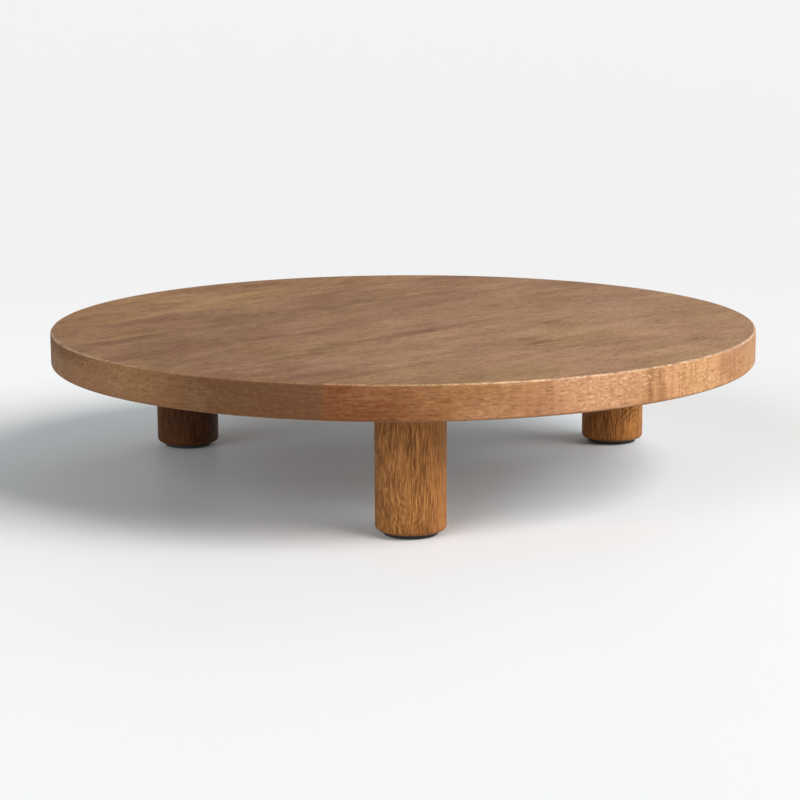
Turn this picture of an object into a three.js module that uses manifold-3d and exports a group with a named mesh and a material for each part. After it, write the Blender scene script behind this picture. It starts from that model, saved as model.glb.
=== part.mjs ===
// A footed serving board: a round board glued up from staves, carried on three turned feet.
// Each foot is screwed up into the board from below, through a counterbore that its pad hides.
// Millimetres, +Z up. The origin is on the table under the board's centre, with one foot at the front (-Y).

import * as THREE from "three";
import { mergeVertices } from "three/addons/utils/BufferGeometryUtils.js";
import Module from "manifold-3d";

const wasm = await Module();
wasm.setup();

// Board
const BOARD_DIAMETER = 406;
const BOARD_THICKNESS = 19;
const BOARD_EDGE_RADIUS = 1.5;
const GRAIN_ANGLE = 44; // degrees from +X to the run of the staves
const STAVE_JOINTS = [-111, -40, 12, 70, 119]; // glue joints, across the grain from the board's centre

// Feet
const FOOT_DIAMETER = 37.5;
const FOOT_LENGTH = 66.4;
const FOOT_EDGE_RADIUS = 2.5; // round-over at the foot's lower edge
const FOOT_INSET = 31.75; // from the board's rim in to the side of the foot
const FEET = [
  { place: "front", angle: -90 },
  { place: "back_right", angle: 30 },
  { place: "back_left", angle: 150 },
]; // degrees from +X

// Pads
const PAD_INSET = 4.5; // from the side of the foot in to the pad
const PAD_THICKNESS = 2.4;
const PAD_EDGE_RADIUS = 0.6;

// Screws and washers
const SCREW_DIAMETER = 5;
const THREAD_DEPTH = 0.8;
const THREAD_WIDTH = 1.8; // of the ridge, below the shank's surface
const THREAD_PITCH = 3;
const THREAD_LENGTH = 27;
const POINT_LENGTH = 5;
const HEAD_DIAMETER = 9;
const HEAD_HEIGHT = 3.2;
const HEAD_EDGE_RADIUS = 1.6;
const RECESS_SPAN = 4.8;
const RECESS_WIDTH = 1.2;
const RECESS_DEPTH = 1.8;
const WASHER_MARGIN = 0.5; // how far the washer stands out past the screw's head
const WASHER_THICKNESS = 1;
const COUNTERBORE_DEPTH = 21.5;
const WOOD_OVER_SCREW = 4.5; // left between the end of the screw's hole and the board's top

// Clearances, all on the radius or across one gap
const GLUE_FILM = 0.1; // stave to stave, foot to board and pad to foot
const SHANK_CLEARANCE = 0.3; // screw in the foot
const BITE_CLEARANCE = 0.2; // thread crest in the board
const POINT_CLEARANCE = 0.5; // past the screw's point
const WASHER_BORE_CLEARANCE = 0.15;
const COUNTERBORE_CLEARANCE = 0.5; // washer in the foot

// Facets round each kind of piece
const BOARD_SIDES = 120;
const FOOT_SIDES = 40;
const SMALL_SIDES = 16;
const THREAD_SIDES = 8;
const ARC_STEPS = 2; // half the facets in each round-over

// Worked out from the sizes above
const boardRadius = BOARD_DIAMETER / 2;
const footRadius = FOOT_DIAMETER / 2;
const footCircleRadius = boardRadius - FOOT_INSET - footRadius;
const padRadius = footRadius - PAD_INSET;
const screwRadius = SCREW_DIAMETER / 2;
const threadRootRadius = screwRadius - THREAD_DEPTH;
const washerRadius = HEAD_DIAMETER / 2 + WASHER_MARGIN;
const counterboreRadius = washerRadius + COUNTERBORE_CLEARANCE;

const footBottom = PAD_THICKNESS + GLUE_FILM;
const boardUnderside = footBottom + FOOT_LENGTH + GLUE_FILM;
const screwSeat = footBottom + COUNTERBORE_DEPTH - WASHER_THICKNESS; // underside of the screw's head
const screwHoleDepth = BOARD_THICKNESS - WOOD_OVER_SCREW;
const screwLength = boardUnderside + screwHoleDepth - POINT_CLEARANCE - screwSeat;

// Materials
const boardWood = new THREE.MeshStandardMaterial({ color: 0x9c6b45, roughness: 0.55, metalness: 0 });
const footWood = new THREE.MeshStandardMaterial({ color: 0x91602f, roughness: 0.55, metalness: 0 });
const blackRubber = new THREE.MeshStandardMaterial({ color: 0x1b1816, roughness: 0.9, metalness: 0 });
const zincSteel = new THREE.MeshStandardMaterial({ color: 0xb8b8b4, roughness: 0.35, metalness: 1 });

// A closed geometry as a solid that can be joined and cut.
function solidOf(geometry) {
  const bare = geometry.clone();
  bare.deleteAttribute("normal");
  bare.deleteAttribute("uv");
  const merged = mergeVertices(bare);
  return new wasm.Manifold(
    new wasm.Mesh({
      numProp: 3,
      vertProperties: merged.getAttribute("position").array,
      triVerts: new Uint32Array(merged.index.array),
    }),
  );
}

// The geometry of a solid, with flat faces.
function geometryOf(solid) {
  const { vertProperties, triVerts } = solid.getMesh();
  const shared = new THREE.BufferGeometry();
  shared.setAttribute("position", new THREE.BufferAttribute(vertProperties, 3));
  shared.setIndex(new THREE.BufferAttribute(triVerts, 1));
  const flat = shared.toNonIndexed();
  flat.computeVertexNormals();
  return flat;
}

// A profile of (radius, height) turned about the Z axis.
function turned(profile, sides) {
  return new THREE.LatheGeometry(profile.getPoints(ARC_STEPS), sides).rotateX(Math.PI / 2);
}

function meshOf(name, geometry, material) {
  const mesh = new THREE.Mesh(geometry, material);
  mesh.name = name;
  return mesh;
}

// Board

// The whole round board, with its two arrises rounded over, before the joints divide it.
function roundBoard() {
  const edge = BOARD_EDGE_RADIUS;
  const profile = new THREE.Path()
    .moveTo(0, 0)
    .lineTo(boardRadius - edge, 0)
    .absarc(boardRadius - edge, edge, edge, -Math.PI / 2, 0)
    .lineTo(boardRadius, BOARD_THICKNESS - edge)
    .absarc(boardRadius - edge, BOARD_THICKNESS - edge, edge, 0, Math.PI / 2)
    .lineTo(0, BOARD_THICKNESS);
  return solidOf(turned(profile, BOARD_SIDES));
}

// The room that one stave takes up, from one joint across the grain to the next.
function slabBetween(low, high) {
  const grain = THREE.MathUtils.degToRad(GRAIN_ANGLE);
  const middle = (low + high) / 2;
  const slab = new THREE.BoxGeometry(2 * BOARD_DIAMETER, high - low, 4 * BOARD_THICKNESS);
  slab.translate(0, middle, 0).rotateZ(grain);
  return solidOf(slab);
}

// The blind holes in the board's underside that the screws bite into.
function screwHoles() {
  const radius = screwRadius + BITE_CLEARANCE;
  return FEET.map(({ angle }) => {
    const hole = new THREE.CylinderGeometry(radius, radius, 2 * screwHoleDepth, SMALL_SIDES);
    const { x, y } = footCentre(angle);
    return solidOf(hole.rotateX(Math.PI / 2).translate(x, y, 0));
  });
}

// The staves, in order from the front right edge of the board to its back left edge.
function staves() {
  const group = new THREE.Group();
  const board = screwHoles().reduce((wood, hole) => wood.subtract(hole), roundBoard());
  const pastRim = boardRadius + GLUE_FILM;
  const limits = [-pastRim, ...STAVE_JOINTS, pastRim];
  limits.slice(1).forEach((high, i) => {
    const slab = slabBetween(limits[i] + GLUE_FILM / 2, high - GLUE_FILM / 2);
    group.add(meshOf(`board_stave_${i + 1}`, geometryOf(board.intersect(slab)), boardWood));
  });
  group.position.z = boardUnderside;
  return group;
}

// Feet

function footCentre(angle) {
  const turn = THREE.MathUtils.degToRad(angle);
  return new THREE.Vector3(footCircleRadius * Math.cos(turn), footCircleRadius * Math.sin(turn), 0);
}

// A turned foot, bored through for the screw and counterbored from below for its head.
function footGeometry() {
  const boreRadius = screwRadius + SHANK_CLEARANCE;
  const edge = FOOT_EDGE_RADIUS;
  const profile = new THREE.Path()
    .moveTo(counterboreRadius, 0)
    .lineTo(footRadius - edge, 0)
    .absarc(footRadius - edge, edge, edge, -Math.PI / 2, 0)
    .lineTo(footRadius, FOOT_LENGTH)
    .lineTo(boreRadius, FOOT_LENGTH)
    .lineTo(boreRadius, COUNTERBORE_DEPTH)
    .lineTo(counterboreRadius, COUNTERBORE_DEPTH)
    .lineTo(counterboreRadius, 0);
  return turned(profile, FOOT_SIDES);
}

// A non-slip disc under the foot, rounded where it meets the table.
function padGeometry() {
  const edge = PAD_EDGE_RADIUS;
  const profile = new THREE.Path()
    .moveTo(0, 0)
    .lineTo(padRadius - edge, 0)
    .absarc(padRadius - edge, edge, edge, -Math.PI / 2, 0)
    .lineTo(padRadius, PAD_THICKNESS)
    .lineTo(0, PAD_THICKNESS);
  return turned(profile, FOOT_SIDES);
}

function washerGeometry() {
  const bore = screwRadius + WASHER_BORE_CLEARANCE;
  const profile = new THREE.Path()
    .moveTo(bore, 0)
    .lineTo(washerRadius, 0)
    .lineTo(washerRadius, WASHER_THICKNESS)
    .lineTo(bore, WASHER_THICKNESS)
    .lineTo(bore, 0);
  return turned(profile, SMALL_SIDES);
}

// The screw's thread: a three-sided ridge wound up the shank, its ends run out into the shank.
function threadRidge() {
  const turns = (THREAD_LENGTH - THREAD_PITCH) / THREAD_PITCH;
  const steps = Math.round(turns * THREAD_SIDES);
  const halfWidth = THREAD_WIDTH / 2;
  const buried = threadRootRadius - THREAD_DEPTH / 2;
  const start = screwLength - POINT_LENGTH - THREAD_LENGTH + THREAD_PITCH;
  const points = [];
  const faces = [];
  for (let i = 0; i <= steps; i++) {
    const turn = (2 * Math.PI * i) / THREAD_SIDES;
    const height = start + (THREAD_PITCH * i) / THREAD_SIDES;
    const crest = i === 0 || i === steps ? threadRootRadius : screwRadius;
    for (const [radius, rise] of [[buried, -halfWidth], [crest, 0], [buried, halfWidth]]) {
      points.push(radius * Math.cos(turn), radius * Math.sin(turn), height + rise);
    }
  }
  for (let i = 0; i < steps; i++) {
    for (let side = 0; side < 3; side++) {
      const a = 3 * i + side;
      const b = 3 * i + ((side + 1) % 3);
      faces.push(a, a + 3, b, b, a + 3, b + 3);
    }
  }
  faces.push(0, 1, 2, 3 * steps, 3 * steps + 2, 3 * steps + 1);
  const ridge = new THREE.BufferGeometry();
  ridge.setAttribute("position", new THREE.Float32BufferAttribute(points, 3));
  ridge.setIndex(faces);
  return solidOf(ridge);
}

// A round-headed wood screw standing point up, with the underside of its head at height 0.
function screwGeometry() {
  const shankEnd = screwLength - POINT_LENGTH - THREAD_LENGTH;
  const headRadius = HEAD_DIAMETER / 2;
  const edge = HEAD_EDGE_RADIUS;
  const profile = new THREE.Path()
    .moveTo(0, -HEAD_HEIGHT)
    .lineTo(headRadius - edge, -HEAD_HEIGHT)
    .absarc(headRadius - edge, edge - HEAD_HEIGHT, edge, -Math.PI / 2, 0)
    .lineTo(headRadius, 0)
    .lineTo(screwRadius, 0)
    .lineTo(screwRadius, shankEnd)
    .lineTo(threadRootRadius, shankEnd + THREAD_DEPTH)
    .lineTo(threadRootRadius, screwLength - POINT_LENGTH)
    .lineTo(0, screwLength);
  const body = solidOf(turned(profile, SMALL_SIDES)).add(threadRidge());
  const slots = [0, Math.PI / 2].map((turn) => {
    const slot = new THREE.BoxGeometry(RECESS_SPAN, RECESS_WIDTH, 2 * RECESS_DEPTH);
    return solidOf(slot.rotateZ(turn).translate(0, 0, -HEAD_HEIGHT));
  });
  return geometryOf(slots.reduce((metal, slot) => metal.subtract(slot), body));
}

// One foot with its pad, washer and screw, each at its own height above the table.
function footAssembly({ place, angle }) {
  const group = new THREE.Group();
  const pieces = [
    [`foot_pad_${place}`, padGeometry(), blackRubber, 0],
    [`foot_${place}`, footGeometry(), footWood, footBottom],
    [`foot_washer_${place}`, washerGeometry(), zincSteel, screwSeat],
    [`foot_screw_${place}`, screwGeometry(), zincSteel, screwSeat],
  ];
  for (const [name, geometry, material, height] of pieces) {
    const mesh = meshOf(name, geometry, material);
    mesh.position.z = height;
    group.add(mesh);
  }
  group.position.copy(footCentre(angle));
  return group;
}

const servingBoard = new THREE.Group();
servingBoard.add(staves(), ...FEET.map(footAssembly));

export default servingBoard;
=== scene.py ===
"""A footed serving board: a round board of edge-glued staves on three turned feet with rubber pads."""

import math
from typing import NamedTuple

import bpy
from bpy.props import FloatProperty, FloatVectorProperty, PointerProperty
from bpy.types import Operator, Panel, PropertyGroup
from mathutils import Matrix, Vector


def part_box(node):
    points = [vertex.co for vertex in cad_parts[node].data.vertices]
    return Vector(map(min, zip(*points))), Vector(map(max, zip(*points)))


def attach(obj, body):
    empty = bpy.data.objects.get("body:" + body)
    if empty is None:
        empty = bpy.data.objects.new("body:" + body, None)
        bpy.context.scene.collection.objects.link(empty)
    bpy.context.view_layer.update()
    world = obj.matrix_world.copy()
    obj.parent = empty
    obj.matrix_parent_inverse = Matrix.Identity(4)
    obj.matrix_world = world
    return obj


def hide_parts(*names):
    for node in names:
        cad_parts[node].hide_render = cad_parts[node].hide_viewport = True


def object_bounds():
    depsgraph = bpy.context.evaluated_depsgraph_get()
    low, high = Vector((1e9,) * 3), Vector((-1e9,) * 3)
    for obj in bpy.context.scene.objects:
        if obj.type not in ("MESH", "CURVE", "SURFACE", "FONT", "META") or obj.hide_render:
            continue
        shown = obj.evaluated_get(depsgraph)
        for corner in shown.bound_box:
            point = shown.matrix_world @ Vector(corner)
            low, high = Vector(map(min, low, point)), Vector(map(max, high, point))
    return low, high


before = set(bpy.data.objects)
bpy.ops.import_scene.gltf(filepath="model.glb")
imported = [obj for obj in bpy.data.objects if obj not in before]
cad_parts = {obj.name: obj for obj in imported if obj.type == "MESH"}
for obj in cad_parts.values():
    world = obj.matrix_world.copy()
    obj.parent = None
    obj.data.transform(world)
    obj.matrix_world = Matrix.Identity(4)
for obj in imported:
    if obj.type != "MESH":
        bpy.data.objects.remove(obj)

bl_info = {
    "name": "Footed Serving Board",
    "version": (1, 0, 0),
    "blender": (4, 5, 0),
    "location": "3D View > Sidebar > Serving Board",
    "description": "Builds a round wooden serving board on turned feet, with its studio stage",
    "category": "Add Mesh",
}

# Sizes that the frame already holds, in metres
CAD_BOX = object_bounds()
BOARD_TOP = CAD_BOX[1].z
BOARD_DIAMETER = CAD_BOX[1].x - CAD_BOX[0].x
BOARD_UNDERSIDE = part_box("board_stave_3")[0].z
FOOT_LOW, FOOT_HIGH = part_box("foot_front")
PAD_LOW, PAD_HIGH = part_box("foot_pad_front")
WASHER_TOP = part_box("foot_washer_front")[1].z

MM = 0.001
PLACES = ("front", "back_right", "back_left")
FOOT_CENTRES = {place: sum(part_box(f"foot_{place}"), Vector()) / 2 for place in PLACES}

# Fineness of the meshes
BOARD_SIDES, FOOT_SIDES, PAD_SIDES, HOLE_SIDES = 480, 128, 96, 48
ARC_POINTS = 8  # in one round-over
CRISP_ANGLE = math.radians(32)  # between faces: sharper edges aren't shaded smooth
MERGE_DISTANCE = 0.001 * MM
FINE_EDGE = 0.3 * MM  # round-over of edges that lie against another piece
SUPPORT = 0.3 * MM  # strip beside a round-over that keeps a face's shading flat
PAD_SUPPORT = 0.2 * MM


# Settings

def length(name, description, default):
    return FloatProperty(name=name, description=description, default=default, min=0, unit="LENGTH")


def strength(name, description, default):
    return FloatProperty(name=name, description=description, default=default, min=0)


def colour(name, description, default):
    return FloatVectorProperty(
        name=name, description=description, default=default, size=3, min=0, max=1, subtype="COLOR"
    )


class BoardSettings(PropertyGroup):
    """Sizes of the round board and of the staves in it"""

    diameter: length("Diameter", "Across the round board", BOARD_DIAMETER)
    top: length("Top", "Height of the serving face above the table", BOARD_TOP)
    underside: length("Underside", "Height of the lower face above the table", BOARD_UNDERSIDE)
    edge_radius: length("Edge radius", "Round-over along the upper and lower arris", 1.5 * MM)
    glue_line: length("Glue line", "Gap between neighbouring staves", 0.02 * MM)
    grain_angle: FloatProperty(
        name="Grain angle", description="From +X to the run of the staves",
        default=math.radians(44), subtype="ANGLE",
    )
    joints: FloatVectorProperty(
        name="Joints", description="Glue joints, across the grain from the centre", size=5,
        default=[offset * MM for offset in (-111, -40, 12, 70, 119)], unit="LENGTH",
    )
    screw_hole_radius: length("Screw hole radius", "Of the blind holes over the feet", 2.7 * MM)
    screw_hole_depth: length("Screw hole depth", "Of the blind holes over the feet", 14.5 * MM)


class FootSettings(PropertyGroup):
    """Sizes of a turned foot"""

    diameter: length("Diameter", "Across the foot", FOOT_HIGH.x - FOOT_LOW.x)
    bottom: length("Bottom", "Height of the foot's lower end above the table", FOOT_LOW.z)
    top: length("Top", "Height of the foot's upper end above the table", FOOT_HIGH.z)
    edge_radius: length("Edge radius", "Round-over at the lower end", 2.5 * MM)
    bore_radius: length("Bore radius", "Of the hole that the screw passes through", 2.8 * MM)
    counterbore_radius: length("Counterbore radius", "Of the pocket for the screw's head", 5.5 * MM)
    shoulder: length("Shoulder", "Height of the face that the washer bears on", WASHER_TOP)


class PadSettings(PropertyGroup):
    """Sizes of a rubber pad"""

    diameter: length("Diameter", "Across the pad", PAD_HIGH.x - PAD_LOW.x)
    thickness: length("Thickness", "Of the pad", PAD_HIGH.z - PAD_LOW.z)
    edge_radius: length("Edge radius", "Round-over where the pad meets the table", 0.6 * MM)


class FinishSettings(PropertyGroup):
    """Colours of the wood, rubber and steel"""

    board_light: colour("Board light", "Pale wood in the board", (0.43, 0.244, 0.132))
    board_dark: colour("Board dark", "Dark wood in the board", (0.118, 0.045, 0.0135))
    board_pore: colour("Board pores", "Open pores in the board", (0.085, 0.036, 0.016))
    # Also the colour of the painted highlight along the board's upper edge
    board_rubbed_and_highlight: colour("Board rubbed and highlight", "Flecks and rubbed edges of the board", (0.64, 0.41, 0.225))
    foot_light: colour("Foot light", "Pale wood in the feet", (0.385, 0.156, 0.04))
    foot_dark: colour("Foot dark", "Dark wood in the feet", (0.12, 0.039, 0.0085))
    foot_pore: colour("Foot pores", "Open pores in the feet", (0.05, 0.017, 0.005))
    rubber: colour("Rubber", "Pads", (0.014, 0.011, 0.009))
    zinc: colour("Zinc", "Screws and washers", (0.62, 0.62, 0.6))


class StageSettings(PropertyGroup):
    """Floor, light and camera"""

    floor: colour("Floor", "Pale studio floor", (0.815, 0.8, 0.795))
    backdrop: colour("Backdrop", "Pale wall behind the floor", (0.74, 0.74, 0.74))
    key_strength: strength("Key strength", "Of the soft key light", 3.45)
    side_strength: strength("Side strength", "Of the low light on the right", 1.05)
    fill_strength: strength("Fill strength", "Of the low light on the left", 2.2)
    back_strength: strength("Back strength", "Of the low light behind", 0.9)
    room_strength: strength("Room strength", "Of the light all round", 0.2)
    lens: FloatProperty(
        name="Lens", description="Focal length on a 36 mm sensor, in millimetres", default=99.0
    )


class ServingBoardSettings(PropertyGroup):
    """Everything that the serving board is made from"""

    board: PointerProperty(type=BoardSettings)
    foot: PointerProperty(type=FootSettings)
    pad: PointerProperty(type=PadSettings)
    finish: PointerProperty(type=FinishSettings)
    stage: PointerProperty(type=StageSettings)


# Node wiring

class Wiring:
    """Adds nodes to one tree and joins them."""

    def __init__(self, tree):
        self.tree = tree

    def node(self, kind, feeds=None, **options):
        """A new node with its options set, and its inputs fed by name or number."""
        made = self.tree.nodes.new(kind)
        for key, value in options.items():
            setattr(made, key, value)
        for key, value in (feeds or {}).items():
            self.feed(made.inputs[key], value)
        return made

    def feed(self, socket, value):
        """Joins an output to the socket, or sets the socket's own value."""
        if isinstance(value, bpy.types.NodeSocket):
            self.tree.links.new(value, socket)
        else:
            socket.default_value = value

    def math(self, operation, *values):
        return self.node("ShaderNodeMath", dict(enumerate(values)), operation=operation).outputs[0]

    def product(self, value, *factors):
        for factor in factors:
            value = self.math("MULTIPLY", value, factor)
        return value

    def held(self, value):
        """Value kept from 0 to 1."""
        return self.math("MINIMUM", self.math("MAXIMUM", value, 0.0), 1.0)

    def vector(self, operation, *values):
        made = self.node("ShaderNodeVectorMath", dict(enumerate(values)), operation=operation)
        return made.outputs["Value" if operation == "LENGTH" else "Vector"]

    def combine(self, x, y, z):
        return self.node("ShaderNodeCombineXYZ", {0: x, 1: y, 2: z}).outputs[0]

    def separate(self, vector):
        return self.node("ShaderNodeSeparateXYZ", {0: vector}).outputs

    def ramp(self, value, low, high, to_low=0.0, to_high=1.0, smooth=True):
        """Value carried from one range to another and held at its ends."""
        feeds = {0: value, 1: low, 2: high, 3: to_low, 4: to_high}
        kind = "SMOOTHSTEP" if smooth else "LINEAR"
        return self.node("ShaderNodeMapRange", feeds, interpolation_type=kind).outputs[0]

    def noise(self, vector, detail=2.0, roughness=0.5, cell=None):
        """Soft noise, about one wave to a cell, which is 1 by 1 by 1 if it isn't given."""
        if cell:
            vector = self.vector("DIVIDE", vector, cell)
        feeds = {"Vector": vector, "Scale": 1.0, "Detail": detail, "Roughness": roughness}
        return self.node("ShaderNodeTexNoise", feeds).outputs[0]

    def mix(self, factor, first, second, blend="MIX"):
        """One colour over another."""
        feeds = {0: factor, 6: first, 7: second}
        return self.node("ShaderNodeMix", feeds, data_type="RGBA", blend_type=blend).outputs[2]

    def between(self, factor, first, second):
        """A number on the way from first to second."""
        return self.node("ShaderNodeMix", {0: factor, 2: first, 3: second}, data_type="FLOAT").outputs[0]


def new_group(kind, name, inputs, outputs):
    """An empty node group with named sockets: its wiring, its input sockets by name and its output node."""
    tree = bpy.data.node_groups.new(name, kind)
    for label, socket, default in inputs:
        made = tree.interface.new_socket(label, in_out="INPUT", socket_type=socket)
        if default is not None:
            made.default_value = default
    for label, socket in outputs:
        tree.interface.new_socket(label, in_out="OUTPUT", socket_type=socket)
    wires = Wiring(tree)
    entry = wires.node("NodeGroupInput")
    given = {socket.name: socket for socket in entry.outputs if socket.name}
    return wires, given, wires.node("NodeGroupOutput")


NUMBER, VECTOR, GEOMETRY = "NodeSocketFloat", "NodeSocketVector", "NodeSocketGeometry"
INTEGER, SWITCH, FINISH = "NodeSocketInt", "NodeSocketBool", "NodeSocketMaterial"


# Shapes in Geometry Nodes

def turning_tree():
    """A profile of (radius, height) turned about Z. It runs down the outside, so that faces point out."""
    wires, given, out = new_group(
        "GeometryNodeTree", "Turned on a lathe",
        [("Profile", GEOMETRY, None), ("Closed", SWITCH, False), ("Sides", INTEGER, 64)],
        [("Mesh", GEOMETRY)],
    )
    profile, sides = given["Profile"], given["Sides"]
    points = wires.node("GeometryNodeAttributeDomainSize", {0: profile}, component="CURVE").outputs[0]
    rows = wires.math("ADD", sides, 1)
    sheet = wires.node(
        "GeometryNodeMeshGrid", {"Vertices X": wires.math("ADD", points, given["Closed"]), "Vertices Y": rows}
    )
    index = wires.node("GeometryNodeInputIndex").outputs[0]
    along = wires.math("MODULO", wires.math("FLOOR", wires.math("DIVIDE", index, rows)), points)
    turn = wires.product(wires.math("MODULO", index, rows), wires.math("DIVIDE", math.tau, sides))
    here = wires.node("GeometryNodeInputPosition").outputs[0]
    sample = wires.node("GeometryNodeSampleIndex", {0: profile, 1: here, 2: along}, data_type="FLOAT_VECTOR")
    radius, height, _ = wires.separate(sample.outputs[0])
    place = wires.combine(
        wires.product(radius, wires.math("COSINE", turn)),
        wires.product(radius, wires.math("SINE", turn)),
        height,
    )
    turned = wires.node("GeometryNodeSetPosition", {"Geometry": sheet.outputs[0], "Position": place})
    closed = wires.node(
        "GeometryNodeMergeByDistance", {"Geometry": turned.outputs[0], "Distance": MERGE_DISTANCE}
    )
    wires.feed(out.inputs[0], closed.outputs[0])
    return wires.tree


def lathe(wires, corners, sides, closed):
    """The mesh turned from corners of (radius, height, round-over)."""
    line = wires.node("GeometryNodeCurvePrimitiveLine")
    line = wires.node("GeometryNodeResampleCurve", {"Curve": line.outputs[0], "Count": len(corners)})
    index = wires.node("GeometryNodeInputIndex").outputs[0]
    places = wires.node("GeometryNodeIndexSwitch", data_type="VECTOR")
    rounds = wires.node("GeometryNodeIndexSwitch", data_type="FLOAT")
    for switch in (places, rounds):
        for _ in corners[2:]:
            switch.index_switch_items.new()
        wires.feed(switch.inputs[0], index)
    for i, (radius, height, rounding) in enumerate(corners):
        wires.feed(places.inputs[i + 1], wires.combine(radius, height, 0.0))
        wires.feed(rounds.inputs[i + 1], rounding)
    line = wires.node("GeometryNodeSetPosition", {"Geometry": line.outputs[0], "Position": places.outputs[0]})
    line = wires.node("GeometryNodeSetSplineCyclic", {"Geometry": line.outputs[0], "Cyclic": closed})
    line = wires.node(
        "GeometryNodeFilletCurve",
        {"Curve": line.outputs[0], "Count": ARC_POINTS, "Radius": rounds.outputs[0]}, mode="POLY",
    )
    tree = bpy.data.node_groups.get("Turned on a lathe") or turning_tree()
    turned = wires.node("GeometryNodeGroup", node_tree=tree)
    for label, value in (("Profile", line.outputs[0]), ("Closed", closed), ("Sides", sides)):
        wires.feed(turned.inputs[label], value)
    return turned.outputs[0]


def finish_form(wires, mesh, material, out):
    """Shades a form smooth up to its crisp edges and gives it its material."""
    smooth = wires.node("GeometryNodeSetShadeSmooth", {"Geometry": mesh, "Shade Smooth": True})
    angle = wires.node("GeometryNodeInputMeshEdgeAngle").outputs[0]
    crisp = wires.math("GREATER_THAN", angle, CRISP_ANGLE)
    edged = wires.node(
        "GeometryNodeSetShadeSmooth",
        {"Geometry": smooth.outputs[0], "Selection": crisp, "Shade Smooth": False}, domain="EDGE",
    )
    solid = wires.node("GeometryNodeRealizeInstances", {"Geometry": edged.outputs[0]})
    painted = wires.node("GeometryNodeSetMaterial", {"Geometry": solid.outputs[0], "Material": material})
    wires.feed(out.inputs[0], painted.outputs[0])
    return wires.tree


def stave_tree():
    """One stave: the round board between two joints, with the blind screw holes that fall in it."""
    wires, given, out = new_group(
        "GeometryNodeTree", "Board stave",
        [("Diameter", NUMBER, 0.4), ("Top", NUMBER, 0.09), ("Underside", NUMBER, 0.07),
         ("Edge radius", NUMBER, 0.002), ("Grain angle", NUMBER, 0.0), ("From", NUMBER, 0.0),
         ("To", NUMBER, 0.1), ("Hole radius", NUMBER, 0.003), ("Hole depth", NUMBER, 0.01),
         ("Foot circle", NUMBER, 0.15), ("Finish", FINISH, None)],
        [("Mesh", GEOMETRY)],
    )
    radius = wires.math("DIVIDE", given["Diameter"], 2)
    edge, top, underside = given["Edge radius"], given["Top"], given["Underside"]
    support = wires.math("ADD", edge, SUPPORT)
    inner = wires.math("SUBTRACT", radius, support)
    board = lathe(wires, [
        (0.0, top, 0.0),
        (inner, top, 0.0),
        (radius, top, edge),
        (radius, wires.math("SUBTRACT", top, support), 0.0),
        (radius, wires.math("ADD", underside, support), 0.0),
        (radius, underside, edge),
        (inner, underside, 0.0),
        (0.0, underside, 0.0),
    ], BOARD_SIDES, closed=False)

    angle, start, end = given["Grain angle"], given["From"], given["To"]
    middle = wires.math("DIVIDE", wires.math("ADD", start, end), 2)
    width = wires.math("SUBTRACT", end, start)
    through = 1.0  # in metres, to cut right through the board
    slab = wires.node("GeometryNodeMeshCube", {"Size": wires.combine(given["Diameter"], width, through)})
    slab = wires.node("GeometryNodeTransform", {
        "Geometry": slab.outputs[0],
        "Translation": wires.combine(
            wires.product(wires.math("SINE", angle), wires.math("MULTIPLY", middle, -1)),
            wires.product(wires.math("COSINE", angle), middle),
            0.0,
        ),
        "Rotation": wires.combine(0.0, 0.0, angle),
    })
    stave = wires.node("GeometryNodeMeshBoolean", operation="INTERSECT", solver="EXACT")
    wires.feed(stave.inputs[1], board)
    wires.feed(stave.inputs[1], slab.outputs[0])

    hole = wires.node("GeometryNodeMeshCylinder", {
        "Vertices": HOLE_SIDES,
        "Radius": given["Hole radius"],
        "Depth": wires.product(given["Hole depth"], 2),
    })
    index = wires.node("GeometryNodeInputIndex").outputs[0]
    turn = wires.math("MULTIPLY_ADD", index, math.tau / len(PLACES), -math.pi / 2)
    circle = given["Foot circle"]
    spots = wires.node("GeometryNodePoints", {"Count": len(PLACES), "Position": wires.combine(
        wires.product(circle, wires.math("COSINE", turn)),
        wires.product(circle, wires.math("SINE", turn)),
        underside,
    )})
    holes = wires.node(
        "GeometryNodeInstanceOnPoints", {"Points": spots.outputs[0], "Instance": hole.outputs[0]}
    )
    holes = wires.node("GeometryNodeRealizeInstances", {"Geometry": holes.outputs[0]})
    bored = wires.node("GeometryNodeMeshBoolean", operation="DIFFERENCE", solver="EXACT")
    wires.feed(bored.inputs[0], stave.outputs[0])
    wires.feed(bored.inputs[1], holes.outputs[0])
    return finish_form(wires, bored.outputs[0], given["Finish"], out)


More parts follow.
